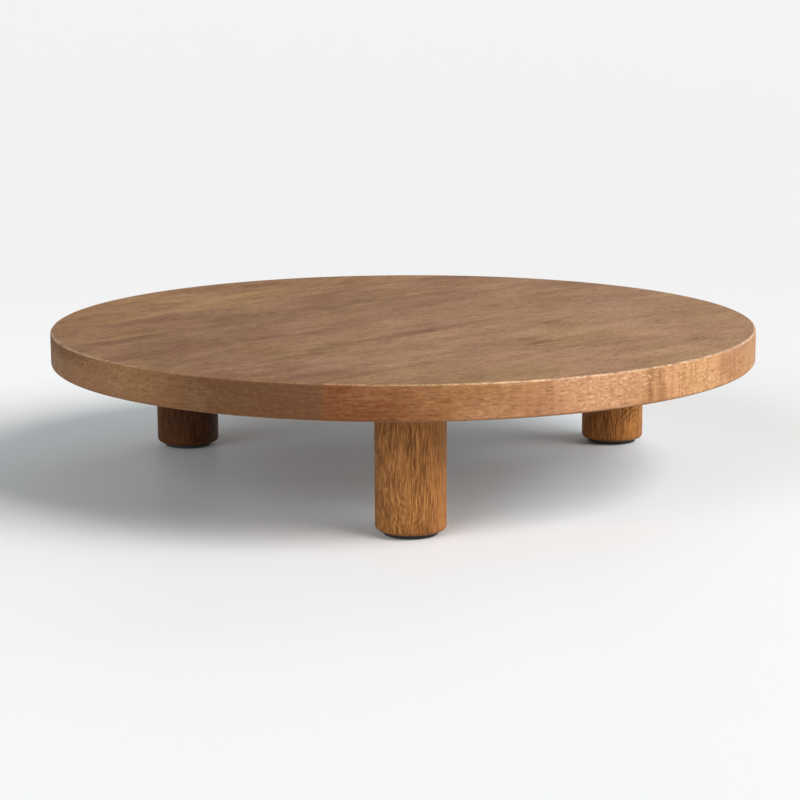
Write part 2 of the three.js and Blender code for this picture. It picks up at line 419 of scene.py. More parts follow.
def foot_tree():
    """A turned foot, rounded at its lower edge, bored for a screw and counterbored for its head."""
    wires, given, out = new_group(
        "GeometryNodeTree", "Turned foot",
        [("Centre", VECTOR, None), ("Diameter", NUMBER, 0.04), ("Bottom", NUMBER, 0.0), ("Top", NUMBER, 0.07),
         ("Edge radius", NUMBER, 0.002), ("Bore radius", NUMBER, 0.003),
         ("Counterbore radius", NUMBER, 0.006), ("Shoulder", NUMBER, 0.02), ("Finish", FINISH, None)],
        [("Mesh", GEOMETRY)],
    )
    radius = wires.math("DIVIDE", given["Diameter"], 2)
    edge, bottom, top = given["Edge radius"], given["Bottom"], given["Top"]
    bore, pocket, shoulder = given["Bore radius"], given["Counterbore radius"], given["Shoulder"]
    support = wires.math("ADD", edge, SUPPORT)
    top_support = FINE_EDGE + SUPPORT
    mesh = lathe(wires, [
        (bore, top, 0.0),
        (wires.math("SUBTRACT", radius, top_support), top, 0.0),
        (radius, top, FINE_EDGE),
        (radius, wires.math("SUBTRACT", top, top_support), 0.0),
        (radius, wires.math("ADD", bottom, support), 0.0),
        (radius, bottom, edge),
        (wires.math("SUBTRACT", radius, support), bottom, 0.0),
        (pocket, bottom, 0.0),
        (pocket, shoulder, 0.0),
        (bore, shoulder, 0.0),
    ], FOOT_SIDES, closed=True)
    placed = wires.node("GeometryNodeTransform", {"Geometry": mesh, "Translation": given["Centre"]})
    return finish_form(wires, placed.outputs[0], given["Finish"], out)


def pad_tree():
    """A rubber disc, rounded where it meets the table."""
    wires, given, out = new_group(
        "GeometryNodeTree", "Rubber pad",
        [("Centre", VECTOR, None), ("Diameter", NUMBER, 0.03), ("Thickness", NUMBER, 0.002),
         ("Edge radius", NUMBER, 0.001), ("Finish", FINISH, None)],
        [("Mesh", GEOMETRY)],
    )
    radius = wires.math("DIVIDE", given["Diameter"], 2)
    thickness, edge = given["Thickness"], given["Edge radius"]
    inner = wires.math("SUBTRACT", radius, wires.math("ADD", edge, PAD_SUPPORT))
    mesh = lathe(wires, [
        (0.0, thickness, 0.0),
        (inner, thickness, 0.0),
        (radius, thickness, FINE_EDGE),
        (radius, 0.0, edge),
        (inner, 0.0, 0.0),
        (0.0, 0.0, 0.0),
    ], PAD_SIDES, closed=False)
    placed = wires.node("GeometryNodeTransform", {"Geometry": mesh, "Translation": given["Centre"]})
    return finish_form(wires, placed.outputs[0], given["Finish"], out)


def form(name, tree, values):
    """A piece with the plain mesh that the tree makes from these values."""
    piece = bpy.data.objects.new(name, bpy.data.meshes.new(name))
    bpy.context.scene.collection.objects.link(piece)
    modifier = piece.modifiers.new("Form", "NODES")
    modifier.node_group = tree
    for socket in tree.interface.items_tree:
        if socket.in_out == "INPUT":
            modifier[socket.identifier] = values[socket.name]
    made = piece.evaluated_get(bpy.context.evaluated_depsgraph_get())
    mesh = bpy.data.meshes.new_from_object(made)
    if not mesh.polygons:
        raise RuntimeError(f"{name} came out empty")
    piece.modifiers.clear()
    piece.data = mesh
    mesh.name = name
    return piece


def stand_for(piece, node):
    """The piece takes a CAD node's place on the board."""
    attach(piece, "root")
    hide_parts(node)


# Effects that several finishes share

def figure_group():
    """Wood figure in grain space: millimetres, with X along the grain."""
    wires, given, out = new_group(
        "ShaderNodeTree", "Wood figure",
        [("Grain", VECTOR, None), ("Wobble", NUMBER, 0.0), ("Ring distance", NUMBER, 0.0),
         ("Ring spacing", NUMBER, 4.0), ("Ring wander", NUMBER, 3.0), ("Cloud length", NUMBER, 80.0),
         ("Streak length", NUMBER, 80.0), ("Streak width", NUMBER, 7.0), ("Pore length", NUMBER, 6.0),
         ("Pore width", NUMBER, 0.5), ("Pore threshold", NUMBER, 0.62), ("Curl spacing", NUMBER, 4.0)],
        [("Rings", NUMBER), ("Clouds", NUMBER), ("Streaks", NUMBER), ("Speckle", NUMBER), ("Fibres", NUMBER),
         ("Lines", NUMBER), ("Pores", NUMBER), ("Flecks", NUMBER), ("Curl", NUMBER)],
    )
    straight = given["Grain"]
    drift = wires.node(
        "ShaderNodeTexNoise", {"Vector": wires.vector("DIVIDE", straight, (26.0, 13.0, 13.0)), "Scale": 1.0}
    ).outputs["Color"]
    drift = wires.vector("MULTIPLY", wires.vector("SUBTRACT", drift, (0.5, 0.5, 0.5)), (2.0, 1.0, 1.0))
    wobble = wires.combine(given["Wobble"], given["Wobble"], given["Wobble"])
    wavy = wires.vector("ADD", straight, wires.vector("MULTIPLY", drift, wobble))

    def scaled(name, factor):
        return wires.math("MULTIPLY", given[name], factor)

    def grain_noise(space, along, across, shift, detail=2.0, roughness=0.5):
        """Noise in cells that are along by across, moved on so that no two layers are alike."""
        cells = wires.vector("DIVIDE", space, wires.combine(along, across, across))
        return wires.noise(wires.vector("ADD", cells, (shift, shift, shift)), detail, roughness)

    # Growth rings: each starts pale and darkens slowly to its late wood
    sway = wires.math("SUBTRACT", grain_noise(wavy, along=60.0, across=11.0, shift=7.0), 0.5)
    swayed = wires.math("MULTIPLY_ADD", sway, given["Ring wander"], given["Ring distance"])
    phase = wires.math("DIVIDE", swayed, given["Ring spacing"])
    part = wires.math("FRACT", phase)
    darkest = 0.86
    late = wires.product(wires.ramp(part, 0.35, darkest), wires.ramp(part, darkest, 1.0, 1.0, 0.0))
    late = wires.math("SUBTRACT", late, wires.ramp(part, 0.0, 0.3, 0.5, 0.0))
    patch = wires.ramp(grain_noise(wavy, along=26.0, across=7.0, shift=97.0), 0.36, 0.64, 0.2, 1.0)
    year = wires.node(
        "ShaderNodeTexWhiteNoise", {"W": wires.math("FLOOR", phase)}, noise_dimensions="1D"
    ).outputs[0]
    wires.feed(out.inputs["Rings"], wires.product(late, patch, wires.ramp(year, 0.0, 1.0, 0.4, 1.0)))

    # Layer, the space that it lies in, length and width of its cells, shift, detail and roughness,
    # and the span of its noise that is stretched to fill 0 to 1
    pore_limit, wide = given["Pore threshold"], (0.28, 0.72)
    for name, space, along, across, shift, detail, roughness, (low, high) in (
        ("Clouds", wavy, given["Cloud length"], scaled("Cloud length", 0.45), 19.0, 2.0, 0.5, wide),
        ("Streaks", wavy, given["Streak length"], given["Streak width"], 31.0, 3.0, 0.55, wide),
        ("Speckle", wavy, scaled("Pore length", 1.3), scaled("Pore width", 3.0), 43.0, 3.0, 0.65, wide),
        ("Fibres", straight, given["Pore length"], scaled("Pore width", 1.3), 57.0, 2.0, 0.6, wide),
        ("Lines", straight, scaled("Streak length", 0.6), scaled("Pore width", 2.0), 71.0, 2.0, 0.55, wide),
        ("Pores", wavy, given["Pore length"], given["Pore width"], 83.0, 1.0, 0.5,
         (pore_limit, wires.math("ADD", pore_limit, 0.1))),
        ("Flecks", straight, scaled("Pore length", 0.45), scaled("Pore width", 1.8), 119.0, 2.0, 0.6,
         (0.46, 0.74)),
        ("Curl", straight, given["Curl spacing"], scaled("Curl spacing", 9.0), 151.0, 1.0, 0.5, (0.32, 0.68)),
    ):
        noise = grain_noise(space, along, across, shift, detail, roughness)
        wires.feed(out.inputs[name], wires.ramp(noise, low, high))
    return wires.tree


def edge_group():
    """A broken mask along an arris, from the distances in from its two faces, in millimetres."""
    wires, given, out = new_group(
        "ShaderNodeTree", "Rubbed and highlit edge",
        [("Place", VECTOR, None), ("From side", NUMBER, 10.0), ("From face", NUMBER, 10.0),
         ("Reach", NUMBER, 1.5)],
        [("Mask", NUMBER)],
    )
    side_weight, solid_share, break_size = 0.6, 0.75, 5.0
    near = wires.math("MULTIPLY_ADD", given["From side"], side_weight, given["From face"])
    reach = given["Reach"]
    band = wires.ramp(near, wires.math("MULTIPLY", reach, solid_share), reach, 1.0, 0.0)
    breaks = wires.noise(given["Place"], 5.0, 0.7, cell=(break_size,) * 3)
    wires.feed(out.inputs[0], wires.product(band, wires.ramp(breaks, 0.38, 0.58, 0.1, 1.0)))
    return wires.tree


def group_node(wires, make, name, feeds):
    """One use of a shared node group, with its own values."""
    tree = bpy.data.node_groups.get(name) or make()
    made = wires.node("ShaderNodeGroup", node_tree=tree)
    for label, value in feeds.items():
        wires.feed(made.inputs[label], value)
    return made.outputs


# Finishes

def new_finish(name):
    """A fresh material: its wiring, its Principled BSDF and Object coordinates in millimetres."""
    material = bpy.data.materials.new(name)
    material.use_nodes = True
    wires = Wiring(material.node_tree)
    shader = material.node_tree.nodes["Principled BSDF"]
    place = wires.node("ShaderNodeTexCoord").outputs["Object"]
    return material, wires, shader, wires.vector("DIVIDE", place, (MM, MM, MM))


def rgba(colour, tint=(1, 1, 1)):
    return (*(c * t for c, t in zip(colour, tint)), 1.0)


def facing_up(wires):
    """1 where the surface faces up, 0 where it is upright and -1 where it faces down."""
    return wires.separate(wires.node("ShaderNodeNewGeometry").outputs["Normal"])[2]


def relief(wires, shader, layers):
    """Bumps of layers of the figure, each with its height in millimetres."""
    height = 0.0
    for layer, rise in layers:
        height = wires.math("MULTIPLY_ADD", layer, rise, height)
    bump = wires.node("ShaderNodeBump", {"Strength": 1.0, "Distance": MM, "Height": height})
    wires.feed(shader.inputs["Normal"], bump.outputs[0])


class Stave(NamedTuple):
    """What sets one stave's wood apart, with places in millimetres"""

    pith: tuple  # where the tree's heart lay, across the grain and up
    tint: tuple
    rim_tint: tuple  # over that tint, and three times on the rim's dark wood
    top_tone: tuple  # two places from left to right, and the tones that the top has there; the rise to the right is partly the wood's own tone and partly a painted sheen
    rim_tone: tuple  # as on the top
    # strength of the rubbed edge and of the painted highlight along it
    edge_wear_and_highlight: float
    rim_shift: float = 500  # of the figure that runs along the rim
    rim_grain: float = 0.55  # strength of the fine grain there
    marks: tuple = ()  # on the top: along and across the grain, half length, half width, and change of tone
    rim_marks: tuple = ()  # on the rim: from left to right, half width, and change of tone


class BoardPoint:
    """Where a point of the board lies, in millimetres, and which face it is on"""

    RIM_ENDS = (0.5, 0.6)  # share of facing up or down between which the rim becomes a flat face

    def __init__(self, wires, place, board):
        self.place = place
        self.x, self.y, self.z = wires.separate(place)
        self.laid = wires.node(
            "ShaderNodeMapping", {"Vector": place, "Rotation": (0, 0, -board.grain_angle)}
        ).outputs[0]
        self.along, self.across, self.up = wires.separate(self.laid)
        self.facing = facing_up(wires)
        self.flat = wires.ramp(wires.math("ABSOLUTE", self.facing), *self.RIM_ENDS)
        self.top = wires.math("MAXIMUM", self.facing, 0.0)
        self.rim = wires.math("SUBTRACT", 1.0, self.flat)
        self.below_top = wires.math("SUBTRACT", board.top / MM, self.z)


def board_figure(wires, point, number, stave, board):
    """The figure of one stave: along the grain on the flat faces, and wrapped round the rim."""
    stave_shift, rim_stretch = 311.0, 0.6
    pith_across, pith_up = stave.pith
    from_pith = wires.vector("LENGTH", wires.combine(
        0.0, wires.math("SUBTRACT", point.across, pith_across), wires.math("SUBTRACT", point.up, pith_up)
    ))
    round_rim = wires.math("ARCTAN2", point.x, wires.math("MULTIPLY", point.y, -1.0))
    wrapped = wires.combine(
        wires.math("MULTIPLY_ADD", round_rim, board.diameter / 2 / MM, stave.rim_shift),
        wires.math("MULTIPLY", point.z, rim_stretch), 0.0,
    )
    straight = wires.vector("ADD", point.laid, (number * stave_shift, 0.0, 0.0))
    grain = wires.node(
        "ShaderNodeMix", {0: point.flat, 4: wrapped, 5: straight}, data_type="VECTOR"
    ).outputs[1]
    return group_node(wires, figure_group, "Wood figure", {
        "Grain": grain, "Wobble": 2.0, "Ring distance": from_pith, "Ring spacing": 6.0, "Ring wander": 9.0,
        "Cloud length": 85.0, "Streak length": 40.0, "Streak width": 15.0,
        "Pore length": 6.0, "Pore width": 0.5, "Pore threshold": 0.59, "Curl spacing": 3.6,
    })


# Layer of the figure, its middle, and its share of the tone on the rim and on the top
BOARD_SHARES = (
    ("Clouds", 0.5, 0.2, 0.23),
    ("Streaks", 0.5, 0.18, 0.16),
    ("Rings", 0.2, 0.0, -0.1),
    ("Speckle", 0.5, 0.13, 0.24),
    ("Fibres", 0.5, 0.15, 0.2),
    ("Lines", 0.5, 0.11, 0.17),
)


def board_tone(wires, point, figure, rim_tone, bars, stave):
    """How pale the wood is, from 0 to 1: the stave's own tones, its figure and its marks."""
    tone = wires.between(point.flat, rim_tone, wires.ramp(point.x, *stave.top_tone, smooth=False))
    for layer, middle, on_rim, on_top in BOARD_SHARES:
        share = wires.ramp(point.flat, 0.0, 1.0, on_rim * stave.rim_grain, on_top)
        tone = wires.math("MULTIPLY_ADD", wires.math("SUBTRACT", figure[layer], middle), share, tone)
    bar_share = wires.ramp(figure["Clouds"], 0.3, 0.8, 0.15, 0.45)
    tone = wires.math("MULTIPLY_ADD", bars, bar_share, tone)

    ragged = wires.math("SUBTRACT", figure["Streaks"], 0.5)

    def mark(apart, raggedness, core, face, change):
        """The tone with a ragged spot on a face. Apart is the distance from its middle, in half widths."""
        apart = wires.math("MULTIPLY_ADD", ragged, raggedness, apart)
        spot = wires.product(wires.ramp(apart, core, 1.0, 1.0, 0.0), face)
        return wires.math("MULTIPLY_ADD", spot, change, tone)

    def halves(value, here, half):
        return wires.math("DIVIDE", wires.math("SUBTRACT", value, here), half)

    for here, over, half_length, half_width, change in stave.marks:
        apart = wires.vector("LENGTH", wires.combine(
            halves(point.along, here, half_length), halves(point.across, over, half_width), 0.0
        ))
        tone = mark(apart, raggedness=0.7, core=0.25, face=point.top, change=change)
    for here, half_width, change in stave.rim_marks:
        apart = wires.math("ABSOLUTE", halves(point.x, here, half_width))
        tone = mark(apart, raggedness=0.5, core=0.3, face=point.rim, change=change)

    # Painted shade: a darker band just under the upper edge at the left, most of all at the left end
    deepest, painted_shade_change = 1.4, -0.2
    band = wires.product(
        wires.ramp(point.below_top, 0.8, deepest), wires.ramp(point.below_top, deepest, 11.0, 1.0, 0.0)
    )
    left = wires.product(
        wires.ramp(point.x, -180.0, -160.0, 1.0, 0.4), wires.ramp(point.x, -130.0, -60.0, 1.0, 0.0)
    )
    return wires.held(wires.math("MULTIPLY_ADD", wires.product(band, left, point.rim), painted_shade_change, tone))


def board_wear_and_highlight(wires, point, rim_tone, stave, board):
    """How far the two edges are rubbed, from 0 to 1, which also places a painted highlight along the upper
    edge.
    """
    from_side = wires.math(
        "SUBTRACT", board.diameter / 2 / MM, wires.vector("LENGTH", wires.combine(point.x, point.y, 0.0))
    )
    above_underside = wires.math("SUBTRACT", point.z, board.underside / MM)
    lower_edge = wires.math("MULTIPLY_ADD", above_underside, 1.6, 0.2)  # rubbed less than the upper edge
    reach_share, least, most = 0.62, 0.35, 1.25
    rubbed = group_node(wires, edge_group, "Rubbed and highlit edge", {
        "Place": point.place, "From side": from_side,
        "From face": wires.math("MINIMUM", point.below_top, lower_edge),
        "Reach": reach_share * board.edge_radius / MM,
    })["Mask"]
    wear = wires.ramp(rim_tone, 0.0, 0.5, least * stave.edge_wear_and_highlight, most * stave.edge_wear_and_highlight)
    # The painted highlight fades towards the right end of the rim
    before_end = wires.ramp(point.x, 125.0, 175.0, 1.0, 0.3)
    return wires.product(rubbed, wear, before_end)


def board_colour(wires, point, figure, tone, lively, wear_and_highlight, stave, finish):
    """Wood between dark and light, shifted in hue, with its pores, flecks, and rubbed edges that also carry a
    painted highlight.
    """
    def on_both(colour, rim_power):
        """A colour of the wood on the rim and on the flat faces."""
        rim_tint = [t * r ** rim_power for t, r in zip(stave.tint, stave.rim_tint)]
        return wires.mix(point.flat, rgba(colour, rim_tint), rgba(colour, stave.tint))

    wood = wires.mix(tone, on_both(finish.board_dark, 3), on_both(finish.board_light, 1))
    hue = wires.ramp(wires.noise(point.laid, cell=(60.0, 34.0, 34.0)), 0.32, 0.68)
    rim_hue = wires.mix(hue, rgba((1, 0.99, 1.06)), rgba((1, 1.03, 0.84)))
    flat_hue = wires.mix(hue, rgba((1, 0.965, 0.97)), rgba((0.97, 1, 0.85)))
    wood = wires.mix(1.0, wood, wires.mix(point.flat, rim_hue, flat_hue), "MULTIPLY")
    underside_shade_share, rim_pores, flat_pores = 0.35, 0.4, 0.7
    # Painted shade: faces that look down are mixed towards the dark wood
    under = wires.math("MAXIMUM", wires.math("MULTIPLY", point.facing, -1.0), 0.0)
    wood = wires.mix(wires.math("MULTIPLY", under, underside_shade_share), wood, rgba(finish.board_dark))
    pores = wires.product(figure["Pores"], wires.ramp(point.flat, 0.0, 1.0, rim_pores, flat_pores))
    wood = wires.mix(pores, wood, rgba(finish.board_pore))
    fleck_share = wires.product(lively, wires.ramp(figure["Streaks"], 0.15, 0.85, 0.1, 1.0))
    flecks = wires.product(figure["Flecks"], wires.math("MULTIPLY_ADD", fleck_share, 0.6, 0.06))
    wood = wires.mix(flecks, wood, rgba(finish.board_rubbed_and_highlight))
    # Rubbed edges: worn wood together with a painted highlight
    return wires.mix(wear_and_highlight, wood, rgba(finish.board_rubbed_and_highlight, (1.04, 0.98, 0.94)))


def board_wood(number, stave):
    """Satin wood for one stave, burnished where its edges are rubbed and painted with a highlight along its
    upper edge.
    """
    settings = bpy.context.scene.serving_board
    board, finish = settings.board, settings.finish
    material, wires, shader, place = new_finish(f"board_wood_{number}")
    point = BoardPoint(wires, place, board)
    figure = board_figure(wires, point, number, stave, board)
    rim_tone = wires.ramp(point.x, *stave.rim_tone, smooth=False)

    # Curly grain, which shows where the rim is pale, less at its right end and to the left
    pale = wires.ramp(rim_tone, 0.1, 0.75)
    before_end = wires.ramp(point.x, 150.0, 185.0, 1.0, 0.3)
    to_right = wires.ramp(point.x, 70.0, 115.0, 0.25, 1.0)
    lively = wires.product(pale, before_end, point.rim)
    bars = wires.product(wires.math("SUBTRACT", figure["Curl"], 0.5), lively, to_right)
    tone = board_tone(wires, point, figure, rim_tone, bars, stave)
    wear_and_highlight = board_wear_and_highlight(wires, point, rim_tone, stave, board)
    wires.feed(
        shader.inputs["Base Color"], board_colour(wires, point, figure, tone, lively, wear_and_highlight, stave, finish)
    )

    burnished = 0.35
    satin = wires.ramp(figure["Streaks"], 0.0, 1.0, 0.74, 0.66)
    rough = wires.math("MULTIPLY_ADD", figure["Pores"], 0.15, satin)
    wires.feed(shader.inputs["Roughness"], wires.between(wear_and_highlight, rough, burnished))
    shader.inputs["Specular IOR Level"].default_value = 0.22
    wires.feed(shader.inputs["Coat Weight"], wear_and_highlight)
    shader.inputs["Coat Roughness"].default_value = burnished
    shader.inputs["Coat IOR"].default_value = 1.65
    relief(wires, shader, (
        (figure["Fibres"], 0.02), (figure["Pores"], -0.04), (figure["Speckle"], 0.03), (bars, 0.06)
    ))
    return material


class Turning(NamedTuple):
    """How one foot was cut from the tree, with places in millimetres from the foot's middle"""

    turn: float  # about its axis, in radians
    upside_down: bool
    tip: float  # height of the growth cone's tip
    lean: float  # of the cone to the right
    ring: float  # distance from the cone's axis of its clearest ring
    spread: float  # how far from that ring others fade
    strength: float  # of the rings
    painted_light_side: float  # side painted paler as painted light, 1 on the right, -1 on the left
    shift: float  # of the figure
    tint: tuple
    forward: float = 15.0  # of the cone's axis
    taper: float = 0.55  # of the cone below its tip


# Layer of the figure, its middle, and its share of the tone
FOOT_SHARES = (("Clouds", 0.5, 0.3), ("Streaks", 0.5, 0.3), ("Speckle", 0.5, 0.32), ("Fibres", 0.5, 0.5))
RING_MIDDLE = 0.1


def foot_wood(place_name, cut):
    """Open-grained wood for one foot, with a growth cone's tip that shows as nested U shapes on one side."""
    finish = bpy.context.scene.serving_board.finish
    material, wires, shader, place = new_finish(f"foot_wood_{place_name}")
    offset = wires.vector("SUBTRACT", place, FOOT_CENTRES[place_name] / MM)
    local = wires.node("ShaderNodeMapping", {
        "Vector": offset, "Rotation": (math.pi if cut.upside_down else 0, 0, cut.turn),
    }).outputs[0]
    x, y, z = wires.separate(local)
    wave = wires.math("SUBTRACT", wires.noise(local, cell=(6.0, 6.0, 14.0)), 0.5)
    swayed = wires.math("ADD", x, wires.product(wave, wires.ramp(x, -10.0, 8.0, 4.0, 1.2)))
    grain = wires.combine(z, swayed, wires.math("ADD", y, cut.shift))
    below = wires.math("MINIMUM", wires.math("SUBTRACT", z, cut.tip), 0.0)
    distance = wires.vector("LENGTH", wires.combine(
        wires.math("SUBTRACT", swayed, cut.lean),
        wires.math("ADD", y, cut.forward),
        wires.math("MULTIPLY", below, cut.taper),
    ))
    figure = group_node(wires, figure_group, "Wood figure", {
        "Grain": grain, "Ring distance": distance, "Ring spacing": 1.6, "Ring wander": 2.4,
        "Cloud length": 34.0, "Streak length": 26.0, "Streak width": 2.4,
        "Pore length": 9.0, "Pore width": 0.36, "Pore threshold": 0.56,
    })

    rightwards, _, upwards = wires.separate(offset)
    # Painted light: the foot is paler across to its lit side
    tone = wires.ramp(rightwards, 0.0, 14.0 * cut.painted_light_side, 0.4, 0.65)
    # Painted light: paler towards the top, lifting the shade under the board
    tone = wires.math("ADD", tone, wires.ramp(upwards, 5.0, 33.0, 0.0, 0.12))
    apart = wires.math("ABSOLUTE", wires.math("SUBTRACT", distance, cut.ring))
    rings = wires.ramp(apart, cut.spread / 2, cut.spread, -cut.strength, -0.35 * cut.strength)
    for layer, middle, share in (*FOOT_SHARES, ("Rings", RING_MIDDLE, rings)):
        tone = wires.math("MULTIPLY_ADD", wires.math("SUBTRACT", figure[layer], middle), share, tone)
    wood = wires.mix(wires.held(tone), rgba(finish.foot_dark, cut.tint), rgba(finish.foot_light, cut.tint))
    pore_share, fleck_share, end_share = 0.62, 0.12, 0.5
    wood = wires.mix(wires.math("MULTIPLY", figure["Pores"], pore_share), wood, rgba(finish.foot_pore))
    streaked = wires.ramp(figure["Fibres"], 0.62, 1.0, 0.0, 0.55)
    pale_tint = [pale * t for pale, t in zip((1.35, 1.5, 2.0), cut.tint)]
    flecked = wires.math("MULTIPLY_ADD", figure["Flecks"], fleck_share, streaked)
    wood = wires.mix(flecked, wood, rgba(finish.foot_light, pale_tint))
    end_grain = wires.math("MULTIPLY", wires.math("ABSOLUTE", facing_up(wires)), end_share)
    wires.feed(shader.inputs["Base Color"], wires.mix(end_grain, wood, rgba(finish.foot_dark)))
    wires.feed(shader.inputs["Roughness"], wires.math("MULTIPLY_ADD", figure["Pores"], 0.2, 0.6))
    shader.inputs["Specular IOR Level"].default_value = 0.1
    relief(wires, shader, ((figure["Fibres"], 0.04), (figure["Pores"], -0.08), (figure["Rings"], -0.03)))
    return material


def pad_rubber():
    """Matt black rubber with a fine moulded grain."""
    finish = bpy.context.scene.serving_board.finish
    material, wires, shader, place = new_finish("pad_rubber")
    grit = wires.noise(place, 3.0, 0.6, cell=(0.35,) * 3)
    dust = wires.noise(place, 3.0, cell=(4.0,) * 3)
    dusty = rgba(finish.rubber, (3.2, 3.2, 3.2))
    base = wires.mix(wires.ramp(dust, 0.35, 0.75, 0.0, 0.35), rgba(finish.rubber), dusty)
    wires.feed(shader.inputs["Base Color"], base)
    wires.feed(shader.inputs["Roughness"], wires.ramp(grit, 0.3, 0.7, 0.72, 0.92))
    bump = wires.node("ShaderNodeBump", {"Strength": 0.6, "Distance": 0.05 * MM, "Height": grit})
    wires.feed(shader.inputs["Normal"], bump.outputs[0])
    return material


def zinc_steel():
    """Bright zinc plating with faint cloudy passivation."""
    finish = bpy.context.scene.serving_board.finish
    material, wires, shader, place = new_finish("zinc_steel")
    cloud = wires.noise(place, 4.0, 0.6, cell=(1.8,) * 3)
    yellowed = rgba(finish.zinc, (1.08, 1.04, 0.9))
    base = wires.mix(wires.ramp(cloud, 0.3, 0.7), rgba(finish.zinc), yellowed)
    wires.feed(shader.inputs["Base Color"], base)
    wires.feed(shader.inputs["Roughness"], wires.ramp(cloud, 0.3, 0.7, 0.24, 0.42))
    shader.inputs["Metallic"].default_value = 1.0
    return material


# Operators

class SERVING_BOARD_OT_staves(Operator):
    """Make the staves of the round board"""

    bl_idname = "serving_board.staves"
    bl_label = "Board Staves"

    # From the front right to the back left
    STAVES = (
        Stave(
            pith=(-150, -30), tint=(1.04, 1.03, 1.03), rim_tint=(1.03, 0.91, 0.76),
            top_tone=(-30, 60, 0.36, 0.56), rim_tone=(-32, 108, 0.0, 0.73), edge_wear_and_highlight=0.7,
            rim_shift=0, rim_grain=1.0,
            marks=((30, -124, 80, 15, -0.13), (30, -168, 60, 9, -0.12), (150, -128, 50, 30, 0.1)),
            rim_marks=((100, 28, 0.1), (124, 10, -0.2), (148, 16, 0.12), (203, 45, -0.14)),
        ),
        Stave(
            pith=(-60, 190), tint=(1.01, 1.01, 1.05), rim_tint=(0.97, 0.96, 0.93),
            top_tone=(-60, 60, 0.28, 0.53), rim_tone=(-150, -90, 0.29, 0.0), edge_wear_and_highlight=0.15,
            marks=((-7, -99, 30, 15, -0.28), (59, -68, 18, 10, -0.22)),
        ),
        Stave(
            pith=(30, -60), tint=(0.94, 0.92, 0.94), rim_tint=(1.03, 0.98, 0.9),
            top_tone=(-100, 100, 0.27, 0.56), rim_tone=(-150, -90, 0.29, 0.0), edge_wear_and_highlight=0.3,
            marks=((-20, -6, 140, 9, 0.12), (-60, -33, 100, 12, -0.12)),
        ),
        Stave(
            pith=(10, 160), tint=(0.96, 0.94, 0.96), rim_tint=(1.01, 0.96, 0.88),
            top_tone=(-90, 60, 0.23, 0.43), rim_tone=(-203, -165, 0.19, 0.28), edge_wear_and_highlight=0.4,
            marks=((70, 22, 60, 16, 0.1),),
        ),
        Stave(
            pith=(130, -20), tint=(1.0, 0.99, 0.98), rim_tint=(0.97, 0.93, 0.9),
            top_tone=(-170, 40, 0.23, 0.3), rim_tone=(-203, -165, 0.19, 0.28), edge_wear_and_highlight=0.6,
        ),
        Stave(
            pith=(190, 170), tint=(1.1, 1.1, 1.02), rim_tint=(0.93, 0.89, 0.86),
            top_tone=(-200, 20, 0.27, 0.3), rim_tone=(-200, 50, 0.25, 0.45), edge_wear_and_highlight=0.3,
        ),
    )

    def execute(self, context):
        board = context.scene.serving_board.board
        tree = stave_tree()
        limits = [-board.diameter, *board.joints, board.diameter]
        for i, stave in enumerate(self.STAVES):
            piece = form(f"stave_{i + 1}", tree, {
                "Diameter": board.diameter,
                "Top": board.top,
                "Underside": board.underside,
                "Edge radius": board.edge_radius,
                "Grain angle": board.grain_angle,
                "From": limits[i] + board.glue_line / 2,
                "To": limits[i + 1] - board.glue_line / 2,
                "Hole radius": board.screw_hole_radius,
                "Hole depth": board.screw_hole_depth,
                "Foot circle": FOOT_CENTRES["front"].xy.length,
                "Finish": board_wood(i + 1, stave),
            })
            stand_for(piece, f"board_stave_{i + 1}")
        return {"FINISHED"}


class SERVING_BOARD_OT_feet(Operator):
    """Make the turned feet"""

    bl_idname = "serving_board.feet"
    bl_label = "Turned Feet"

    TURNINGS = {
        "front": Turning(
            turn=0.0, upside_down=False, tip=-9.0, lean=-2.5, ring=6.6, spread=2.4, strength=0.8,
            painted_light_side=1, shift=0, tint=(1, 1, 1.03),
        ),
        "back_right": Turning(
            turn=-2.45, upside_down=True, tip=29.0, lean=0.0, ring=6.0, spread=8.0, strength=0.65,
            painted_light_side=1, shift=97, tint=(1.1, 1.06, 1.0),
        ),
        "back_left": Turning(
            turn=2.2, upside_down=False, tip=-10.0, lean=0.0, ring=6.6, spread=3.0, strength=0.5,
            # Painted shade: its wood is painted very dark for its place deep under the board
            painted_light_side=-1, shift=194, tint=(0.26, 0.2, 0.2),
        ),
    }

    def execute(self, context):
        foot = context.scene.serving_board.foot
        tree = foot_tree()
        for place, cut in self.TURNINGS.items():
            centre = FOOT_CENTRES[place]
            piece = form(f"turned_foot_{place}", tree, {
                "Centre": (centre.x, centre.y, 0.0),
                "Diameter": foot.diameter,
                "Bottom": foot.bottom,
                "Top": foot.top,
                "Edge radius": foot.edge_radius,
                "Bore radius": foot.bore_radius,
                "Counterbore radius": foot.counterbore_radius,
                "Shoulder": foot.shoulder,
                "Finish": foot_wood(place, cut),
            })
            stand_for(piece, f"foot_{place}")
        return {"FINISHED"}


class SERVING_BOARD_OT_pads(Operator):
    """Make the rubber pads under the feet"""

    bl_idname = "serving_board.pads"
    bl_label = "Rubber Pads"

    def execute(self, context):
        pad = context.scene.serving_board.pad
        tree = pad_tree()
        rubber = pad_rubber()
        for place in PLACES:
            centre = FOOT_CENTRES[place]
            piece = form(f"rubber_pad_{place}", tree, {
                "Centre": (centre.x, centre.y, 0.0),
                "Diameter": pad.diameter,
                "Thickness": pad.thickness,
                "Edge radius": pad.edge_radius,
                "Finish": rubber,
            })
            stand_for(piece, f"foot_pad_{place}")
        return {"FINISHED"}


